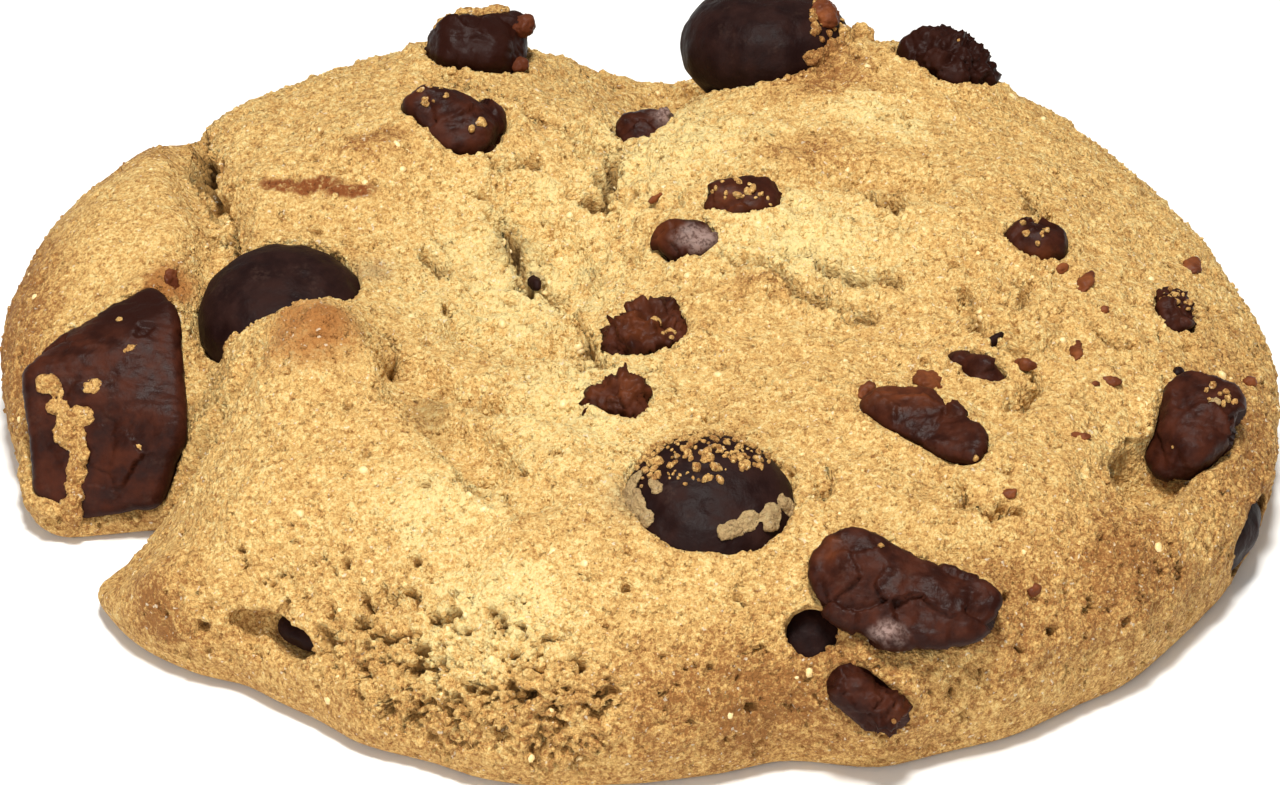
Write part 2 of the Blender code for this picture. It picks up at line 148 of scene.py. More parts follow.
def startShape():  # a Geometry Nodes tree, with the place of each point in millimetres
    tree = bpy.data.node_groups.new("shape", "GeometryNodeTree")
    tree.interface.new_socket("Geometry", in_out="INPUT", socket_type="NodeSocketGeometry")
    tree.interface.new_socket("Geometry", in_out="OUTPUT", socket_type="NodeSocketGeometry")
    graph = Graph(tree)
    place = graph.add("GeometryNodeInputPosition") * 1000
    return graph, graph.add("NodeGroupInput"), place


def applyShape(piece, graph, geometry):
    end = graph.tree.nodes.new("NodeGroupOutput")
    graph.tree.links.new(geometry.socket, end.inputs[0])
    modifier = piece.modifiers.new("shape", "NODES")
    modifier.node_group = graph.tree
    applyAll(piece)


def store(graph, geometry, name, value):  # keeps a value on the mesh, for its material
    settings = {"data_type": "FLOAT", "domain": "POINT"}
    return graph.add("GeometryNodeStoreNamedAttribute", settings, {0: geometry, "Name": name, "Value": value})


def kept(graph, name):  # reads a value that store has kept
    return graph.add("GeometryNodeInputNamedAttribute", {"data_type": "FLOAT"}, {"Name": name})


def moved(graph, geometry, offset):
    return graph.add("GeometryNodeSetPosition", None, {0: geometry, "Offset": offset})


# Mesh helpers


def onlySelect(*pieces):
    bpy.ops.object.select_all(action="DESELECT")
    for piece in pieces:
        piece.select_set(True)
    bpy.context.view_layer.objects.active = pieces[0]


def applyAll(piece):
    onlySelect(piece)
    for modifier in list(piece.modifiers):
        bpy.ops.object.modifier_apply(modifier=modifier.name)


def addModifier(piece, kind, **settings):
    modifier = piece.modifiers.new(kind.lower(), kind)
    for name, value in settings.items():
        setattr(modifier, name, value)
    applyAll(piece)


def copyNodes(names, pieceName):  # one piece from copies of CAD nodes, with their loose triangles joined up
    copies = []
    for name in names:
        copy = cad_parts[name].copy()
        copy.data = copy.data.copy()
        copy.parent = None
        for key in list(copy.keys()):
            del copy[key]
        bpy.context.scene.collection.objects.link(copy)
        copies.append(copy)
    onlySelect(*copies)
    if len(copies) > 1:
        bpy.ops.object.join()
    piece = bpy.context.view_layer.objects.active
    piece.name = pieceName
    piece.data.materials.clear()
    bpy.ops.object.mode_set(mode="EDIT")
    bpy.ops.mesh.select_all(action="SELECT")
    bpy.ops.mesh.remove_doubles(threshold=0.000002)
    bpy.ops.object.mode_set(mode="OBJECT")
    return piece


def triangles(piece):
    piece.data.calc_loop_triangles()
    return len(piece.data.loop_triangles)


def thinTo(piece, most):
    count = triangles(piece)
    if count > most:
        addModifier(piece, "DECIMATE", ratio=most / count)


def finishPiece(piece, material, slot, *nodes):
    onlySelect(piece)
    bpy.ops.object.shade_smooth()
    piece.data.materials.clear()
    piece.data.materials.append(material)
    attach(piece, "root")
    if nodes:
        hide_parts(*nodes)
    print(piece.name, triangles(piece), "triangles")


def newMaterial(name):
    material = bpy.data.materials.new(name)
    material.use_nodes = True
    tree = material.node_tree
    shader = tree.nodes["Principled BSDF"]
    graph = Graph(tree)
    place = graph.add("ShaderNodeTexCoord", None, None, "Object") * 1000
    return material, graph, shader, place


def feed(graph, shader, **wires):
    for name, wire in wires.items():
        graph.tree.links.new(wire.socket, shader.inputs[name.replace("_", " ")])


def attribute(graph, name):
    return graph.add("ShaderNodeAttribute", {"attribute_name": name}, None, "Fac")


# Chocolate

dropNames = [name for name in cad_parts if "drop" in name]
chunkNames = [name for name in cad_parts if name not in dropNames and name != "cookie_dough"]

drops = {
    "voxel": 0.17 * mm,
    "most": 120000,  # triangles
    "grow": 0.34,  # heights in millimetres
    "waves": 0.3,
    "grain": 0.12,
    "dimples": 0.08,
    "heldBack": 0.55,
    "held": [  # drops that stay back in their hole: x, y, z, then the reach in x, y and z
        (36.6, -11.2, 4.0, 4.0, 8.0, 6.0),
        (9.7, -28.6, 8.4, 2.8, 2.8, 2.8),
        (-18.7, -24.5, 4.6, 2.8, 2.8, 2.8),
    ],
}

dropPiece = copyNodes(dropNames, "chocolateDrops")
addModifier(dropPiece, "REMESH", mode="VOXEL", voxel_size=drops["voxel"])
addModifier(dropPiece, "SMOOTH", factor=0.5, iterations=25)
graph, geometry, place = startShape()
normal = graph.add("GeometryNodeInputNormal")
wavy = graph.noise(place, 0.28, 2) - 0.5
fine = graph.noise(place, 1.6, 3) - 0.5
dimple = graph.fade(graph.cells(place, 0.55), 0.12, 0.4, -1.0, 0.0)
rise = wavy * drops["waves"] + fine * drops["grain"] + dimple * drops["dimples"] + drops["grow"]
rise -= graph.blobs(place, drops["held"], 0.6) * drops["heldBack"]
rise = rise * graph.fade(graph.channel(place, 2), 0.3, 1.3)  # the underside stays level
geometry = store(graph, geometry, "relief", fine + dimple * 0.4)
geometry = moved(graph, geometry, normal * (rise * mm))
applyShape(dropPiece, graph, geometry)
thinTo(dropPiece, drops["most"])

chunks = {
    "voxel": 0.15 * mm,
    "most": 150000,  # triangles
    "grow": 0.34,  # heights in millimetres
    "crumbly": 3.0,
    "facets": 0.4,
    "lumps": 0.3,
    "grain": 0.35,
    "scratches": 0.2,
    "smoothest": (-31.5, -3.5, 6.5, 8.0, 9.0, 9.0),  # x, y, z, then the reach in x, y and z
}

crumblySpots = [  # chunks that broke up in the dough: x, y, z, then the reach in x, y and z
    (0.4, -4.9, 12.6, 4.0, 3.2, 3.0),
    (-1.2, -11.8, 12.6, 3.2, 3.0, 3.0),
    (31.9, 0.2, 10.6, 2.4, 2.6, 2.4),
    (19.6, 24.0, 13.4, 3.4, 3.2, 3.0),
    (14.2, -31.8, 4.8, 2.2, 2.6, 2.6),
]

chunkPiece = copyNodes(chunkNames, "chocolateChunks")
addModifier(chunkPiece, "REMESH", mode="VOXEL", voxel_size=chunks["voxel"])
addModifier(chunkPiece, "SMOOTH", factor=0.5, iterations=2)
graph, geometry, place = startShape()
normal = graph.add("GeometryNodeInputNormal")
warp = graph.noise(place, 0.5, 2, 0.5, "Color") - 0.5
lumpy = graph.noise(place, 0.36, 2) - 0.5
broken = place + warp
cell = graph.cells(broken, 0.36, "Color")
facet = graph.dot(cell - 0.5, broken - cell.other("Position"))  # each cell is a flat face with its own tilt
calm = 1.0 - graph.blobs(place, [chunks["smoothest"]], 0.3) * 0.7
fine = graph.noise(place, 1.5, 4, 0.65) - 0.5
scratch = graph.noise(place * (0.5, 2.2, 1.6) + warp, 1.1, 2) - 0.5
crumbly = graph.blobs(place, crumblySpots, 0.4) * (graph.noise(place, 0.9, 4, 0.7) - 0.5)
rise = lumpy * chunks["lumps"] + (facet * chunks["facets"] + fine * chunks["grain"]) * calm
rise += scratch * chunks["scratches"]
rise += crumbly * chunks["crumbly"] + chunks["grow"]
rise = rise * graph.fade(graph.channel(place, 2), 0.3, 1.3)
geometry = store(graph, geometry, "relief", fine + scratch + facet * 0.4 + crumbly)
# which way each face points, kept for the painted shade on the chunks' undersides and sides
geometry = store(graph, geometry, "facing", graph.channel(normal, 2))
geometry = moved(graph, geometry, normal * (rise * mm))
applyShape(chunkPiece, graph, geometry)
thinTo(chunkPiece, chunks["most"])
print("chocolate shaped")


# Dough

dough = {
    "voxel": 0.22 * mm,
    "most": 196000,  # triangles
    "swell": 0.5,  # heights in millimetres
    "lumps": 0.95,
    "creases": 1.0,
    "crumble": 0.75,
    "middle": 1.5,
    "grains": 0.16,
    "pores": 0.7,
    "pits": 1.2,
    "lip": 0.3,
    "deepCrack": 3.2,
    "fineCrack": 1.9,
    "folds": 1.35,
    "breakDepth": 1.3,
    "breakSink": 0.3,
    "settle": 0.15,
}

deepCracks = [  # across the top, in millimetres
    [(-27.4, 22.4), (-27.2, 18.2), (-26.5, 15.1)],
    [(3.2, 30.9), (1.9, 30.2)],
    [(-1.6, 16.3), (-1.9, 13.7), (-2.3, 11.8), (-2.7, 10.4)],
    [(-6.3, 3.2), (-5.3, 2.9)],
    [(-3.4, -3.8), (-2.7, -5.9), (-2.1, -8.2)],
    [(13.3, 7.8), (14.4, 6.8), (15.8, 6.2)],
    [(23.4, 8.8), (23.6, 7.4), (24.3, 5.9)],
    [(-8.0, 8.2), (-7.3, 6.4)],
    [(-12.7, 5.6), (-12.0, 4.8)],
    [(10.9, 0.3), (12.2, -0.4), (13.6, -0.9), (14.7, -1.0)],
    [(9.8, -2.2), (11.1, -3.1), (12.2, -3.8), (13.5, -3.9)],
]
fineCracks = [
    [(-26.5, 15.1), (-26.0, 12.2), (-25.0, 9.1), (-24.3, 6.4)],
    [(-5.3, 2.9), (-3.8, -0.9), (-3.4, -3.8)],
    [(4.9, 1.5), (6.5, 0.9), (8.1, -0.3), (10.0, -2.3), (11.8, -3.8)],
    [(19.0, -2.1), (19.6, -4.2), (19.8, -6.0), (20.9, -7.5), (22.2, -7.7)],
    [(23.0, -8.9), (22.8, -10.2), (21.7, -11.8)],
    [(22.8, -0.9), (22.3, -2.9)],
    [(10.6, -19.0), (10.2, -21.1)],
    [(17.6, -19.4), (18.6, -21.9), (20.3, -22.1), (21.6, -21.8)],
    [(-8.6, 8.9), (-7.7, 7.7), (-7.3, 6.0), (-6.3, 3.2)],
    [(-14.4, -4.4), (-13.8, -6.9)],
    [(-9.4, -9.8), (-8.4, -10.6)],
    [(-8.5, 13.0), (-6.1, 13.5)],
    [(-9.9, -18.7), (-9.3, -20.0), (-7.4, -20.6)],
    [(27.0, -4.4), (28.7, -5.2)],
    [(-12.0, 22.4), (-8.6, 21.0), (-6.6, 18.2), (-3.2, 16.6)],
]
folds = [  # soft furrows where the dough slid over itself
    [(-13.9, -7.0), (-13.1, -11.0), (-11.5, -14.3), (-8.6, -17.8)],
    [(-12.6, -8.2), (-8.0, -11.8), (-4.6, -12.7), (-1.1, -12.5)],
    [(-10.0, -1.7), (-7.1, -3.5), (-4.1, -5.2)],
    [(-7.3, 10.3), (-4.8, 7.1), (-4.2, 2.7)],
    [(6.8, 9.0), (11.6, 10.2), (17.0, 9.0)],
]


def crackLines(name, lines):  # flat lines at height 0, for the dough to read distances from
    mesh = bpy.data.meshes.new(name)
    points, edges = [], []
    for line in lines:
        edges += [(len(points) + i, len(points) + i + 1) for i in range(len(line) - 1)]
        points += [(x, y, 0) for x, y in line]
    mesh.from_pydata(points, edges, [])
    lineObject = bpy.data.objects.new(name, mesh)
    bpy.context.scene.collection.objects.link(lineObject)
    return lineObject


def distanceTo(graph, target, place, element="EDGES"):
    shape = graph.add("GeometryNodeObjectInfo", None, {"Object": target}, "Geometry")
    settings = {"target_element": element}
    return graph.add("GeometryNodeProximity", settings, {0: shape, "Sample Position": place}, "Distance")


deepLines = crackLines("deepLines", deepCracks)
fineLines = crackLines("fineLines", fineCracks)
foldLines = crackLines("foldLines", folds)
chips = copyNodes(dropNames + chunkNames, "chips")

doughPiece = copyNodes(["cookie_dough"], "doughCrumb")
addModifier(doughPiece, "REMESH", mode="VOXEL", voxel_size=dough["voxel"])
addModifier(doughPiece, "SMOOTH", factor=0.5, iterations=40)
print("dough remeshed", len(doughPiece.data.vertices), "points")

breakSpots = [  # where the crumb is open: x, y, z, then the reach in x, y and z
    (-9.5, -30.0, 6.0, 9.5, 5.5, 6.0),
    (-15.0, -27.5, 7.0, 5.5, 4.2, 4.0),
    (-4.4, -32.0, 4.6, 5.0, 3.4, 5.0),
]
centreSpots = [  # the rough middle
    (-6.5, 3.0, 11.0, 10.0, 13.0, 9.0),
    (1.0, 13.0, 12.0, 8.0, 12.0, 9.0),
    (11.0, 2.0, 14.0, 11.0, 9.0, 9.0),
    (21.0, -3.0, 13.0, 6.0, 9.0, 9.0),
    (-3.0, -9.0, 12.0, 7.0, 8.0, 9.0),
]
smoothSpots = [  # the calm skin of the left lobe and the toe
    (-33.0, 12.0, 8.0, 9.0, 15.0, 9.0),
    (-29.0, -17.0, 3.0, 7.0, 7.0, 5.0),
    (-20.0, -27.0, 1.6, 9.0, 5.0, 2.6),
]

graph, geometry, place = startShape()
normal = graph.add("GeometryNodeInputNormal")
height = graph.channel(place, 2)
metres = graph.add("GeometryNodeInputPosition")
fromChip = distanceTo(graph, chips, metres, "FACES") * 1000  # millimetres to the nearest chocolate
clear = graph.fade(fromChip, 0.3, 0.8)  # 0 in a pocket
top = graph.fade(graph.channel(normal, 2), -0.2, 0.3)
offFloor = graph.fade(height, 0.3, 1.2)
breakArea = graph.blobs(place, breakSpots, 0.7)
centre = graph.blobs(place, centreSpots, 0.6)
rough = (1.0 - graph.blobs(place, smoothSpots, 0.4) * 0.7) * (1.0 + centre * 0.4)

warp = graph.noise(place, 0.55, 4, 0.7, "Color") - 0.5
flatPlace = (place + warp * 2.6) * (1.0, 1.0, 0.0)
crackHere = graph.fade(height, 6.0, 8.5) * top
deepWidth = graph.fade(graph.noise(place, 0.9, 4, 0.7), 0.35, 0.65, 0.35, 1.25)
deepCrack = graph.fade(distanceTo(graph, deepLines, flatPlace) / deepWidth, 0.0, 1.0, 1.0, 0.0) * crackHere
fineWidth = graph.fade(graph.noise(place, 1.1, 4, 0.7), 0.4, 0.62, 0.12, 0.85)
fineCrack = graph.fade(distanceTo(graph, fineLines, flatPlace) / fineWidth, 0.0, 1.0, 1.0, 0.0) * crackHere
fold = graph.fade(distanceTo(graph, foldLines, flatPlace), 0.0, 2.2, 1.0, 0.0) * crackHere

swell = graph.noise(place, 0.16, 2) - 0.5
lumps = graph.noise(place, 0.5, 3, 0.55) - 0.5
crumble = graph.noise(place, 1.3, 4, 0.7) - 0.5
grains = 0.5 - graph.cells(place, 2.2)
poreAndShade = graph.fade(graph.noise(place, 0.9, 4, 0.72), 0.615, 0.67)
pitCell = graph.cells(place + warp * 0.8, 0.42)
pitDraw = graph.channel(pitCell.other("Color"), 0)
pit = graph.fade(pitCell + crumble * 0.16, 0.06, 0.18, 1.0, 0.0) * graph.fade(pitDraw, 0.3, 0.4)
breakNoise = graph.noise(place + warp * 1.2, 0.8, 4, 0.7)
breakHole = graph.fade(breakNoise, 0.53, 0.60) * graph.fade(breakArea, 0.1, 0.5)

creases = graph.noise(place * (1.0, 1.5, 1.0) + warp * 2.0, 0.3, 2) - 0.5
rise = swell * dough["swell"] + lumps * dough["lumps"] * rough + creases * dough["creases"] * (0.3 + centre)
rise += crumble * dough["crumble"] * (rough + breakArea * 1.4)
rise += grains * dough["grains"] * (rough + breakArea)
rise -= poreAndShade * dough["pores"] * rough + pit * dough["pits"]
rise -= fold * dough["folds"]
rise -= deepCrack * dough["deepCrack"] + fineCrack * dough["fineCrack"]
rise -= breakHole * dough["breakDepth"] + breakArea * dough["breakSink"]
rise += centre * (graph.noise(place, 0.8, 3, 0.6) - 0.5) * dough["middle"]
rise += graph.fade(fromChip, 0.3, 0.8) * graph.fade(fromChip, 0.9, 2.2, 1.0, 0.0) * dough["lip"] * top
rise -= dough["settle"]
rise = rise.least(graph.fade(fromChip, 0.8, 3.2, 0.22, 1.6))  # no high lumps beside the chocolate
rise = rise * clear * offFloor * graph.fade(top, 0.0, 1.0, 0.6, 1.0)
# painted shade: how far pores, pits, cracks, break holes and low crumb are darkened in the dough's colour
cavity = (poreAndShade * 0.9 * rough + pit * 1.3 + deepCrack * 1.6 + fineCrack * 1.1 + breakHole * 0.9) * clear
cavity += graph.fade(crumble, -0.18, -0.04, 0.5, 0.0) * (rough + breakArea * 0.3)
geometry = store(graph, geometry, "cavity", cavity)
# painted light and shade: the height of crumb and grains, kept so the colour can pale the crests and darken
# the low places
geometry = store(graph, geometry, "crest", crumble + grains * 0.5 + lumps * 0.5)
geometry = store(graph, geometry, "chipDistance", fromChip)
geometry = moved(graph, geometry, normal * (rise * mm))
applyShape(doughPiece, graph, geometry)
thinTo(doughPiece, dough["most"])
print("dough shaped")

for helper in (deepLines, fineLines, foldLines, chips):
    bpy.data.objects.remove(helper)


# Grains and crumbs, scattered


def scatter(pieceName, host, density, seed, sizes, sink=0.3, uneven=0.3, segments=0):  # density is per mm2
    piece = bpy.data.objects.new(pieceName, bpy.data.meshes.new(pieceName))
    bpy.context.scene.collection.objects.link(piece)
    graph, geometry, place = startShape()
    hostShape = graph.add("GeometryNodeObjectInfo", None, {"Object": host}, "Geometry")
    amount = density(graph, place, graph.add("GeometryNodeInputNormal")) * 1000000  # per square metre
    small, large = sizes
    inputs = {"Mesh": hostShape, "Density": amount, "Seed": seed}
    points = graph.add("GeometryNodeDistributePointsOnFaces", None, inputs)
    draw = graph.add("FunctionNodeRandomValue", {"data_type": "FLOAT"}, {2: 0.0, 3: 1.0, "Seed": seed}, 1)
    size = draw * draw * (large - small) * 0.5 * mm + small * 0.5 * mm
    shape = {"data_type": "FLOAT_VECTOR"}
    least, most = (0.75, 0.75, 0.6), (1.2, 1.2, 1.0)
    stretch = graph.add("FunctionNodeRandomValue", shape, {0: least, 1: most, "Seed": seed + 1})
    turn = graph.add("FunctionNodeRandomValue", shape, {0: (0, 0, 0), 1: (6.3, 6.3, 6.3), "Seed": seed + 2})
    points = moved(graph, points, points.other("Normal") * size * -sink)
    if segments:  # 35 faces in a crumb of 7 segments, 20 in a grain
        grain = graph.add("GeometryNodeMeshUVSphere", None, {"Radius": 1.0, "Segments": segments, "Rings": 5})
    else:
        grain = graph.add("GeometryNodeMeshIcoSphere", None, {"Radius": 1.0, "Subdivisions": 1})
    inputs = {"Points": points, "Instance": grain, "Rotation": turn, "Scale": stretch * size}
    geometry = graph.add("GeometryNodeInstanceOnPoints", None, inputs)
    geometry = graph.add("GeometryNodeRealizeInstances", None, {0: geometry})
    push = graph.noise(place, 2.0, 2, 0.5, "Color") - 0.5
    geometry = moved(graph, geometry, push * (uneven * (small + large) * 0.5 * mm))
    applyShape(piece, graph, geometry)
    return piece


def upward(graph, normal, low=-0.1, high=0.35):
    return graph.fade(graph.channel(normal, 2), low, high)


def looseGrains(density):
    def spread(graph, place, normal):
        chip = kept(graph, "chipDistance")
        cavity = kept(graph, "cavity")
        patches = graph.fade(graph.noise(place, 0.35, 3, 0.6), 0.35, 0.65, 0.4, 1.0)
        calm = 1.0 - graph.blobs(place, smoothSpots, 0.4) * 0.6
        away = graph.fade(chip, 0.35, 0.6) * graph.fade(cavity, 0.3, 0.9, 1.0, 0.2)
        edge = graph.fade(chip, 0.5, 1.6, 1.6, 1.0)
        amount = patches * calm * away * edge * density
        return amount * upward(graph, normal) * graph.fade(graph.channel(place, 2), 1.2, 3.0)
    return spread


grainKinds = {  # how many per square millimetre, and the smallest and largest in millimetres
    "sandGrains": (2.5, 0.17, 0.34),
    "doughGrains": (2.4, 0.24, 0.54),
}
grainPieces = []
for number, (name, (density, *sizes)) in enumerate(grainKinds.items()):
    spread = looseGrains(density)
    grainPieces.append(scatter(name, doughPiece, spread, 11 + number * 5, sizes, sink=0.3, uneven=0.4))

coarse = {
    "density": 1.0,
    "sizes": (0.4, 0.95),
    "edge": 1.1,  # dough that creeps over the chocolate's edges
    "broken": 0.9,
    "middle": 0.3,
    "anywhere": 0.03,
}


def coarseCrumbs(graph, place, normal):
    patches = graph.fade(graph.noise(place, 0.3, 2), 0.4, 0.6)
    broken = graph.blobs(place, breakSpots, 0.6)
    middle = graph.blobs(place, centreSpots, 0.5)
    chip = kept(graph, "chipDistance")
    beside = graph.fade(chip, 0.9, 1.5, coarse["edge"], 0.0)
    spread = broken * coarse["broken"] + middle * patches * coarse["middle"] + coarse["anywhere"] + beside
    spread = spread * graph.fade(chip, 0.3, 0.5)
    return spread * coarse["density"] * upward(graph, normal) * graph.fade(graph.channel(place, 2), 1.2, 3.0)


coarsePiece = scatter("coarseCrumbs", doughPiece, coarseCrumbs, 23, coarse["sizes"],
                      sink=0.55, uneven=0.7, segments=7)

crumbs = {
    "dropDensity": 6.0,
    "dropSizes": (0.22, 0.7),
    "chunkDensity": 3.2,
    "chunkSizes": (0.25, 0.6),
    "anywhere": 0.02,
}
dropCrumbSpots = [  # where crumbs lie on the drops: x, y, z, then the reach in x, y and z
    (2.8, -19.2, 13.8, 5.8, 3.6, 2.6),
    (11.3, 25.0, 15.4, 2.6, 2.4, 2.0),
]
chunkCrumbSpots = [  # and on the chunks
    (6.0, 7.0, 14.6, 2.4, 1.6, 1.6),
    (1.6, -5.4, 13.2, 1.4, 1.0, 1.4),
    (23.8, 3.2, 14.0, 1.6, 1.2, 1.4),
    (31.9, 0.6, 11.0, 1.6, 1.6, 1.6),
    (33.6, -10.0, 11.2, 1.3, 1.3, 1.4),
    (-12.6, 16.8, 15.2, 1.4, 1.2, 1.4),
]


def crumbsOnDrops(graph, place, normal):
    spots = graph.blobs(place, dropCrumbSpots, 0.5)
    return spots * upward(graph, normal, 0.2, 0.6) * crumbs["dropDensity"]


def crumbsOnChunks(graph, place, normal):
    spots = graph.blobs(place, chunkCrumbSpots, 0.6)
    facesUp = upward(graph, normal, 0.2, 0.6)
    return spots * facesUp * crumbs["chunkDensity"] + facesUp * crumbs["anywhere"]


dropCrumbs = scatter("crumbsOnDrops", dropPiece, crumbsOnDrops, 31, crumbs["dropSizes"],
                     sink=0.0, uneven=0.9, segments=7)
chunkCrumbs = scatter("crumbsOnChunks", chunkPiece, crumbsOnChunks, 37, crumbs["chunkSizes"],
                      sink=0.0, uneven=0.9, segments=7)

sugarDust = {
    "density": 0.03,
    "sizes": (0.3, 0.75),
    "deep": (0.80, 0.52, 0.20),
    "pale": (0.90, 0.70, 0.38),
}


def sugarGrains(graph, place, normal):
    spread = graph.fade(kept(graph, "chipDistance"), 0.5, 0.9) * graph.fade(graph.channel(place, 2), 2.0, 4.0)
    return spread * upward(graph, normal) * sugarDust["density"]


sugarPiece = scatter("sugarGrains", doughPiece, sugarGrains, 41, sugarDust["sizes"],
                     sink=0.5, uneven=0.6, segments=7)
print("grains scattered")


# Lumps of dough and flecks of chocolate, placed one by one


def lumpPiece(pieceName, hosts, lumps, wrinkle, smoothing=2):  # flattened balls that lie on their hosts
    balls = []
    for x, y, z, long, wide, thick, turn in lumps:
        spot = Vector((x, y, z)) * mm
        touches = [host.closest_point_on_mesh(spot) for host in hosts]
        hit, point, normal, face = min(touches, key=lambda touch: (touch[1] - spot).length)
        stand = normal.to_track_quat("Z", "Y").to_matrix()
        stand = stand @ Matrix.Rotation(math.radians(turn), 3, "Z")
        lean = stand.to_euler()
        bpy.ops.mesh.primitive_ico_sphere_add(subdivisions=3, radius=1, location=point, rotation=lean)
        ball = bpy.context.active_object
        ball.scale = (long * mm / 2, wide * mm / 2, thick * mm / 2)
        balls.append(ball)
    onlySelect(*balls)
    bpy.ops.object.join()
    piece = bpy.context.view_layer.objects.active
    piece.name = pieceName
    onlySelect(piece)
    bpy.ops.object.transform_apply(location=True, rotation=True, scale=True)
    addModifier(piece, "REMESH", mode="VOXEL", voxel_size=0.1 * mm)
    addModifier(piece, "SMOOTH", factor=0.5, iterations=smoothing)
    graph, geometry, place = startShape()
    normal = graph.add("GeometryNodeInputNormal")
    lift = (graph.noise(place, 1.0, 3, 0.6) - 0.5) * wrinkle * 1.5
    lift += (graph.noise(place, 2.6, 2, 0.6) - 0.5) * wrinkle * 0.6
    geometry = moved(graph, geometry, normal * (lift * mm))
    applyShape(piece, graph, geometry)
    return piece


smears = [  # x, y, z, long, wide, thick in millimetres, turn in degrees
    (-34.9, -4.2, 8.2, 1.5, 1.3, 0.5, 20),
    (-34.4, -4.5, 8.0, 0.9, 1.1, 0.45, 60),
    (-32.2, -4.6, 8.2, 1.3, 1.0, 0.5, 40),
    (-34.3, -5.2, 7.2, 1.6, 1.1, 0.45, 0),
    (-33.2, -5.7, 6.8, 2.6, 1.4, 0.5, 20),
    (-33.6, -6.1, 6.0, 2.3, 1.8, 0.55, 0),
    (-33.1, -6.8, 5.2, 2.0, 1.7, 0.55, 30),
    (-33.2, -7.4, 4.2, 1.4, 2.0, 0.6, 0),
    (-33.3, -7.9, 3.2, 1.1, 1.8, 0.6, 0),
    (-33.6, -8.6, 2.0, 1.8, 2.2, 1.1, 0),
    (-29.7, -7.2, 5.6, 0.6, 0.5, 0.4, 0),
    (-30.2, -2.7, 9.6, 1.2, 0.4, 0.25, 30),
    (13.8, 26.6, 14.2, 1.6, 1.4, 1.6, 0),
    (12.9, 24.9, 14.2, 2.6, 2.2, 0.9, 0),
    (11.9, 23.8, 14.3, 2.6, 1.6, 0.7, 0),
    (10.6, 22.8, 14.5, 2.0, 1.3, 0.5, 0),
    (-12.4, 28.0, 14.4, 2.2, 1.5, 0.9, 10),
    (-10.8, 28.5, 14.6, 2.0, 1.4, 1.0, 0),
    (-9.2, 28.3, 14.4, 2.2, 1.3, 0.9, -10),
    (-13.0, 16.5, 15.1, 1.1, 0.7, 0.4, 20),
    (-9.7, 15.1, 14.4, 0.8, 0.6, 0.4, 0),
    (21.7, -5.8, 12.7, 1.2, 0.8, 0.5, -20),
    (-24.0, -2.0, 9.8, 1.6, 0.8, 0.35, 70),
    (-23.5, -2.7, 9.4, 1.2, 0.7, 0.35, 50),
]
greySmears = [
    (-0.4, -20.8, 12.3, 1.4, 2.6, 0.4, 10),
    (-0.4, -22.4, 12.2, 2.4, 2.0, 0.45, 0),
    (0.5, -23.2, 11.8, 1.6, 1.2, 0.4, 30),
    (1.1, -21.8, 12.8, 1.4, 0.8, 0.3, -20),
    (5.0, -24.4, 11.8, 1.8, 1.1, 0.45, 0),
    (6.0, -23.8, 12.0, 1.6, 1.2, 0.4, 20),
    (7.2, -23.2, 11.9, 1.9, 1.4, 0.5, 30),
    (8.0, -21.9, 11.8, 1.1, 1.8, 0.45, 10),
    (33.2, -10.8, 10.8, 1.4, 0.8, 0.3, 40),
]
smearPiece = lumpPiece("doughSmears", [dropPiece, chunkPiece, doughPiece], smears, wrinkle=0.55)
greyPiece = lumpPiece("greySmears", [dropPiece, chunkPiece], greySmears, wrinkle=0.5)

amberBits = [
    (16.8, -10.5, 12.9, 2.2, 2.0, 1.1, 0),
    (25.4, -6.1, 12.1, 2.4, 0.8, 0.4, 12),
    (27.3, -8.8, 11.7, 1.4, 0.8, 0.5, -25),
    (26.4, -9.4, 11.8, 0.7, 0.6, 0.5, 0),
    (26.3, 0.1, 12.6, 2.3, 1.0, 0.5, -20),
    (25.0, 1.2, 12.8, 0.9, 0.6, 0.4, 10),
    (27.4, -2.4, 12.4, 0.7, 0.6, 0.4, 0),
    (33.2, 6.4, 9.7, 1.9, 1.2, 0.6, -30),
    (20.9, -20.8, 12.0, 0.9, 0.8, 0.5, 0),
    (22.2, -26.0, 8.9, 1.0, 0.8, 0.5, 0),
    (25.3, -14.2, 11.6, 1.6, 0.6, 0.4, -25),
    (36.0, -3.6, 8.2, 0.9, 0.8, 0.5, 0),
    (0.9, 8.4, 13.3, 1.5, 0.5, 0.4, 5),
    (-7.6, 27.3, 13.9, 1.7, 1.5, 1.5, 0),
    (-7.6, 25.2, 12.4, 1.1, 1.1, 1.2, 0),
    (11.4, 25.3, 15.9, 2.3, 1.8, 1.4, 20),
    (22.4, -8.6, 13.0, 1.6, 1.0, 0.7, -35),
    (13.0, -11.9, 13.0, 1.6, 0.9, 0.6, 15),
    (-27.8, 3.4, 10.8, 1.7, 1.3, 0.4, 30),
]
amberPiece = lumpPiece("amberFlecks", [doughPiece, chunkPiece, dropPiece], amberBits, wrinkle=0.5)

darkBits = [
    (-6.6, 3.4, 10.4, 1.5, 0.9, 0.8, 10),
    (20.4, -7.0, 13.0, 2.2, 0.8, 0.6, -18),
    (31.6, -6.3, 10.8, 0.9, 0.8, 0.7, 0),
]
darkPiece = lumpPiece("darkFlecks", [doughPiece], darkBits, wrinkle=0.2, smoothing=3)
print("flecks placed")


# Materials

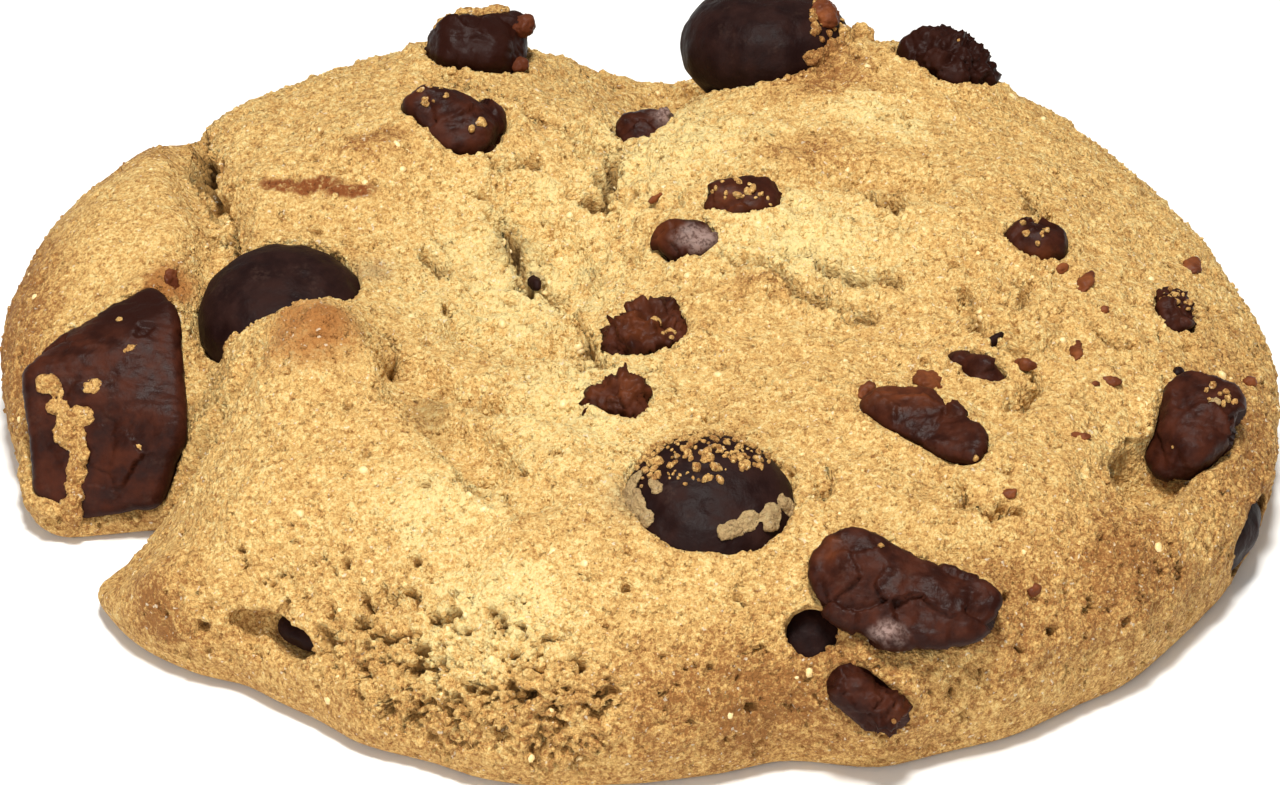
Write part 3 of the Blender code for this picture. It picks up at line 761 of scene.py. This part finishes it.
baked = {
    "cream": (0.85, 0.66, 0.29),
    "gold": (0.74, 0.46, 0.155),
    "tan": (0.52, 0.28, 0.085),
    "brown": (0.30, 0.125, 0.032),
    # painted shade colour for pores, pits and tiny dents
    "poreAndShade": (0.36, 0.19, 0.05),
    "smear": (0.33, 0.23, 0.12),
    "burnt": (0.24, 0.07, 0.016),
    "toast": (0.42, 0.17, 0.042),
    # painted shade colour for the deepest cracks
    "crackShade": (0.15, 0.075, 0.02),
    "olive": (0.27, 0.17, 0.06),
    "sugar": (0.93, 0.84, 0.64),
}
baking = {  # how far each thing takes the dough from cream at 0 to brown at 1
    "start": 0.41,
    "pale": 0.41,
    "toasted": 0.54,
    "rim": 0.20,
    "opened": 0.06,
    "mottle": 0.6,
    "flecks": 0.7,
    "grains": 0.4,
    "finest": 1.7,
    # painted light and shade on the crumb's relief
    "reliefLightShadeAmount": 0.6,
}
paleSpots = [  # x, y, z, then the reach in x, y and z, as in the lists below
    (-7.0, 4.0, 11.0, 11.0, 15.0, 9.0),
    (2.0, 14.0, 12.0, 10.0, 12.0, 9.0),
    (10.0, 3.0, 14.0, 11.0, 9.0, 9.0),
    (-3.0, -12.0, 12.0, 9.0, 12.0, 9.0),
    (13.0, 16.0, 14.0, 7.0, 5.0, 7.0),
    (-11.0, -20.0, 10.0, 7.0, 6.0, 7.0),
    (-8.0, -28.0, 8.0, 9.0, 6.0, 6.0),
]
toastedSpots = [
    (-37.0, 6.0, 6.0, 6.0, 16.0, 8.0),
    (-33.0, 20.0, 8.0, 8.0, 6.0, 8.0),
    (11.0, 21.0, 15.0, 6.0, 5.0, 5.0),
    (-15.4, 13.5, 15.0, 3.4, 2.4, 3.0),
    (27.5, -22.5, 8.0, 10.0, 9.0, 7.0),
    (20.5, -26.0, 7.5, 9.0, 7.0, 6.0),
    (12.0, -29.5, 6.0, 8.0, 6.0, 6.0),
    (10.5, 14.0, 15.0, 6.0, 4.0, 4.0),
    (-28.0, -21.0, 4.2, 4.5, 4.0, 4.0),
    (34.0, -8.0, 6.0, 6.0, 14.0, 8.0),
    (6.0, -31.5, 6.0, 14.0, 5.0, 6.0),
    (-27.8, 3.2, 10.6, 2.6, 2.6, 3.0),
    (7.0, -1.6, 13.6, 4.0, 2.0, 3.0),
]
smearSpots = [
    (-15.8, 3.6, 11.4, 2.2, 2.0, 2.6),
    (-5.8, 4.4, 10.8, 2.2, 1.6, 2.6),
    (-0.6, -21.8, 12.4, 2.4, 3.0, 2.4),
    (6.6, -23.0, 12.2, 3.0, 2.0, 2.4),
]
oliveSpots = [  # hollows where little light falls
    (29.4, -15.0, 8.6, 3.8, 3.6, 3.4),
    (-12.0, -11.0, 11.0, 2.0, 3.4, 3.0),
    (-7.6, 7.0, 11.0, 1.6, 2.6, 3.0),
    (-24.6, -5.0, 6.0, 3.0, 6.0, 4.0),
]
brownedSpots = [  # baked through
    (-19.3, -7.6, 15.0, 4.6, 4.4, 3.8),
    (-27.8, 3.2, 10.6, 2.2, 2.2, 3.0),
]
burntSpots = [
    (-21.6, 11.0, 12.8, 1.8, 0.7, 2.6),
    (-19.6, 10.7, 13.0, 2.0, 0.7, 2.6),
    (-17.6, 10.1, 13.2, 2.0, 0.7, 2.6),
]


def doughMaterial(name, lift=0.0, ownSmear=None):
    material, graph, shader, place = newMaterial(name)
    height = graph.channel(place, 2)
    cavity = attribute(graph, "cavity")
    warp = graph.noise(place, 0.25, 3, 0.6, "Color") - 0.5
    spot = place + warp * 8.0
    pale = graph.blobs(spot, paleSpots)
    toasted = graph.blobs(spot, toastedSpots)
    rim = graph.fade(height + (graph.noise(place, 0.3, 2) - 0.5) * 4.0, 0.5, 9.0, 1.0, 0.0)
    fleck = graph.noise(place, 2.2, 3, 0.7)
    mottle = graph.noise(place, 0.5, 3, 0.6)
    grainDraw = graph.channel(graph.cells(place, 4.2, "Color"), 0)
    near = place + warp * 1.6
    opened = graph.blobs(place, breakSpots, 0.7)
    bake = baking["start"] - pale * baking["pale"] + toasted * baking["toasted"] + rim * baking["rim"]
    bake = bake + opened * baking["opened"] - lift
    bake += ((mottle - 0.5) * baking["mottle"] + (fleck - 0.5) * baking["flecks"]
             + (grainDraw - 0.5) * baking["grains"])
    finest = graph.noise(place, 6.0, 2, 0.8) - 0.5
    # painted light and shade: crests of the crumb paler, the low places between them darker
    bake += finest * baking["finest"] - attribute(graph, "crest") * baking["reliefLightShadeAmount"]
    colour = graph.ramp(bake, [
        (0.0, baked["cream"]), (0.34, baked["gold"]), (0.68, baked["tan"]), (1.0, baked["brown"]),
    ])
    browned = graph.blobs(near, brownedSpots, 0.7) * graph.fade(mottle, 0.3, 0.6, 0.75, 1.0)
    colour = graph.mix(browned, colour, baked["toast"])
    # painted shade: pores, pits, cracks and crumb hollows darkened, the deepest ones darker still
    colour = graph.mix(graph.fade(cavity, 0.15, 1.0) * 0.8, colour, baked["poreAndShade"])
    colour = graph.mix(graph.fade(cavity, 0.75, 1.5) * 0.8, colour, baked["crackShade"])
    colour = graph.mix(graph.blobs(near, oliveSpots, 0.9) * 0.5, colour, baked["olive"])
    # painted shade: tiny dents, also pressed in by the bump below, darkened with the pore shade colour
    speck = graph.fade(fleck, 0.64, 0.70)
    colour = graph.mix(speck * 0.65, colour, baked["poreAndShade"])
    sugar = graph.fade(graph.noise(place, 3.2, 1), 0.68, 0.76)
    colour = graph.mix(sugar * 0.5, colour, baked["sugar"])
    smear = ownSmear or graph.blobs(near, smearSpots) * 0.55
    colour = graph.mix(smear, colour, baked["smear"])
    burnt = graph.blobs(near, burntSpots, 0.5) * graph.fade(fleck, 0.3, 0.5, 0.4, 1.0)
    colour = graph.mix(burnt, colour, baked["burnt"])
    feed(graph, shader, Base_Color=colour)
    bumps = graph.noise(place, 4.2, 3, 0.75) + (0.5 - graph.cells(place, 3.6)) * 0.5 - speck * 0.5
    bump = graph.add("ShaderNodeBump", None, {"Strength": 1.0, "Distance": 0.30 * mm, "Height": bumps})
    feed(graph, shader, Normal=bump)
    feed(graph, shader, Roughness=graph.fade(fleck, 0.3, 0.7, 0.75, 0.95))
    shader.inputs["Specular IOR Level"].default_value = 0.25
    return material


chocolate = {  # for each kind: deep colour, worn colour, roughness and shine
    "darkChocolate": ((0.010, 0.003, 0.0025), (0.022, 0.0075, 0.0055), 0.45, 0.08),
    "brownChocolate": ((0.019, 0.0045, 0.0025), (0.056, 0.0135, 0.006), 0.36, 0.08),
    "amberChocolate": ((0.09, 0.022, 0.008), (0.21, 0.06, 0.017), 0.4, 0.12),
}
patchColours = {  # single places on the chocolate
    "amber": (0.15, 0.038, 0.011),
    "bloom": (0.42, 0.29, 0.25),
    "dust": (0.12, 0.07, 0.05),
}


def chocolateMaterial(name, amberSpots=(), bloomSpots=()):
    deep, worn, roughness, shine = chocolate[name]
    material, graph, shader, place = newMaterial(name)
    relief = attribute(graph, "relief")
    warp = graph.noise(place, 0.8, 3, 0.6, "Color") - 0.5
    mottle = graph.noise(place, 0.7, 3, 0.6)
    speck = graph.noise(place, 4.0, 2, 0.7)
    colour = graph.mix(graph.fade(mottle, 0.3, 0.75), deep, worn)
    if amberSpots:
        amber = graph.blobs(place + warp * 1.4, amberSpots, 0.8) * graph.fade(relief, -0.3, 0.3, 0.2, 0.9)
        colour = graph.mix(amber * 0.85, colour, patchColours["amber"])
        # painted shade: faces that point down or sideways are darkened toward the deep colour
        shade = graph.fade(attribute(graph, "facing"), -0.2, 0.6, 0.6, 0.0)
        colour = graph.mix(shade, colour, deep)
    if bloomSpots:
        bloom = graph.blobs(place + warp * 1.2, bloomSpots, 0.7) * graph.fade(speck, 0.35, 0.6, 0.3, 1.0)
        colour = graph.mix(bloom * 0.6, colour, patchColours["bloom"])
    dust = graph.fade(graph.noise(place, 0.5, 4, 0.65), 0.54, 0.72) * graph.fade(speck, 0.4, 0.65)
    colour = graph.mix(dust * 0.12, colour, patchColours["dust"])
    # darkest spots, the top of the left chunk among them as painted shade
    colour = graph.mix(graph.blobs(place, darkestSpots, 0.5) * 0.95, colour, deep)
    feed(graph, shader, Base_Color=colour)
    feed(graph, shader, Roughness=graph.fade(mottle, 0.3, 0.8, roughness, roughness + 0.25))
    bumps = graph.noise(place, 2.6, 4, 0.65)
    bump = graph.add("ShaderNodeBump", None, {"Strength": 0.4, "Distance": 0.14 * mm, "Height": bumps})
    feed(graph, shader, Normal=bump)
    shader.inputs["Specular IOR Level"].default_value = shine
    return material


amberSpots = [
    (0.4, -4.9, 12.6, 3.6, 2.6, 2.6),
    (-1.2, -11.8, 12.6, 2.8, 2.4, 2.4),
    (1.6, 3.6, 13.6, 1.6, 1.6, 1.6),
    (5.8, 6.6, 14.2, 2.6, 1.6, 1.6),
    (15.6, -12.6, 13.2, 5.0, 2.4, 2.0),
    (14.2, -32.0, 4.6, 1.5, 1.6, 1.5),
    (23.5, 2.0, 12.8, 2.0, 1.4, 1.6),
    (-8.2, 25.6, 13.2, 1.4, 2.4, 2.6),
    (10.4, -26.6, 12.4, 1.8, 1.4, 1.4),
]
# spots darkened almost to the deep colour; the one on top of the left chunk is painted shade
darkestSpots = [
    (-9.8, 26.6, 13.0, 6.0, 5.0, 5.0),
    (19.1, 24.0, 13.2, 5.0, 4.6, 4.0),
    (-30.0, 1.2, 10.6, 4.0, 4.0, 2.6),
]
bloomSpots = [
    (3.4, 3.0, 13.9, 1.9, 1.2, 1.2),
    (13.8, -30.6, 9.3, 1.5, 1.0, 1.0),
    (2.2, 19.4, 12.4, 2.0, 1.4, 1.4),
]
darkChocolate = chocolateMaterial("darkChocolate")
brownChocolate = chocolateMaterial("brownChocolate", amberSpots, bloomSpots)
amberChocolate = chocolateMaterial("amberChocolate")
doughSkin = doughMaterial("bakedDough")
crumbSkin = doughMaterial("looseCrumb", lift=0.02)
toastSkin = doughMaterial("toastedCrumb", lift=-0.25)
smearSkin = doughMaterial("driedSmear", lift=-0.18)
greySkin = doughMaterial("greySmear", ownSmear=0.75)


def sugarMaterial():
    material, graph, shader, place = newMaterial("sugar")
    colour = graph.mix(graph.noise(place, 1.2, 1), sugarDust["deep"], sugarDust["pale"])
    feed(graph, shader, Base_Color=colour)
    shader.inputs["Roughness"].default_value = 0.35
    shader.inputs["Subsurface Weight"].default_value = 0.3
    shader.inputs["Subsurface Radius"].default_value = (1.0, 0.8, 0.5)
    shader.inputs["Subsurface Scale"].default_value = 0.4 * mm
    return material


finishPiece(dropPiece, darkChocolate, "dark_chocolate", *dropNames)
finishPiece(chunkPiece, brownChocolate, "brown_chocolate", *chunkNames)
finishPiece(doughPiece, doughSkin, "baked_dough", "cookie_dough")
for grainPiece in grainPieces:
    finishPiece(grainPiece, crumbSkin, "baked_dough")
finishPiece(coarsePiece, crumbSkin, "baked_dough")
finishPiece(dropCrumbs, toastSkin, "baked_dough")
finishPiece(chunkCrumbs, toastSkin, "baked_dough")
finishPiece(smearPiece, smearSkin, "baked_dough")
finishPiece(greyPiece, greySkin, "baked_dough")
finishPiece(sugarPiece, sugarMaterial(), "baked_dough")
finishPiece(amberPiece, amberChocolate, "brown_chocolate")
finishPiece(darkPiece, darkChocolate, "dark_chocolate")


# Floor, light and camera

studio = {
    "elevation": 34,  # degrees
    "distance": 0.4,  # metres
    "lens": 189.2,
    "aim": (0, -0.00175, 0.006),
    "world": 0.29,
    "key": {"place": (0.0, -0.1, 0.56), "size": 0.1, "power": 3.85, "colour": (1.0, 0.99, 0.96)},
    "front": {"place": (-0.15, -0.5, 0.22), "size": 0.4, "power": 1.55, "colour": (1.0, 0.99, 0.97)},
    "floor": (0.9, 0.9, 0.89, 1),
}

bpy.ops.mesh.primitive_plane_add(size=4, location=(0, 0, -0.00005))
floor = bpy.context.active_object
floor.name = "floor"
floorMaterial, graph, shader, place = newMaterial("paleFloor")
shader.inputs["Base Color"].default_value = studio["floor"]
shader.inputs["Roughness"].default_value = 0.8
floor.data.materials.append(floorMaterial)

world = bpy.data.worlds.new("studio")
bpy.context.scene.world = world
world.use_nodes = True
world.node_tree.nodes["Background"].inputs["Color"].default_value = (1.0, 0.99, 0.97, 1)
world.node_tree.nodes["Background"].inputs["Strength"].default_value = studio["world"]


def areaLight(name, place, size, power, colour):
    bpy.ops.object.light_add(type="AREA", location=place)
    light = bpy.context.active_object
    light.name = name
    light.data.size = size
    light.data.energy = power
    light.data.color = colour
    light.rotation_euler = (Vector((0, 0, 0.005)) - light.location).to_track_quat("-Z", "Y").to_euler()


areaLight("keyLight", **studio["key"])
areaLight("frontLight", **studio["front"])

bpy.ops.object.camera_add()
camera = bpy.context.active_object
camera.data.lens = studio["lens"]
camera.data.sensor_width = 36
camera.data.clip_start = 0.01
tilt = math.radians(studio["elevation"])
aim = Vector(studio["aim"])
camera.location = aim + Vector((0, -math.cos(tilt), math.sin(tilt))) * studio["distance"]
camera.rotation_euler = (aim - camera.location).to_track_quat("-Z", "Y").to_euler()
bpy.context.scene.camera = camera
bpy.context.scene.view_settings.view_transform = "Standard"

print("cookie dressed")
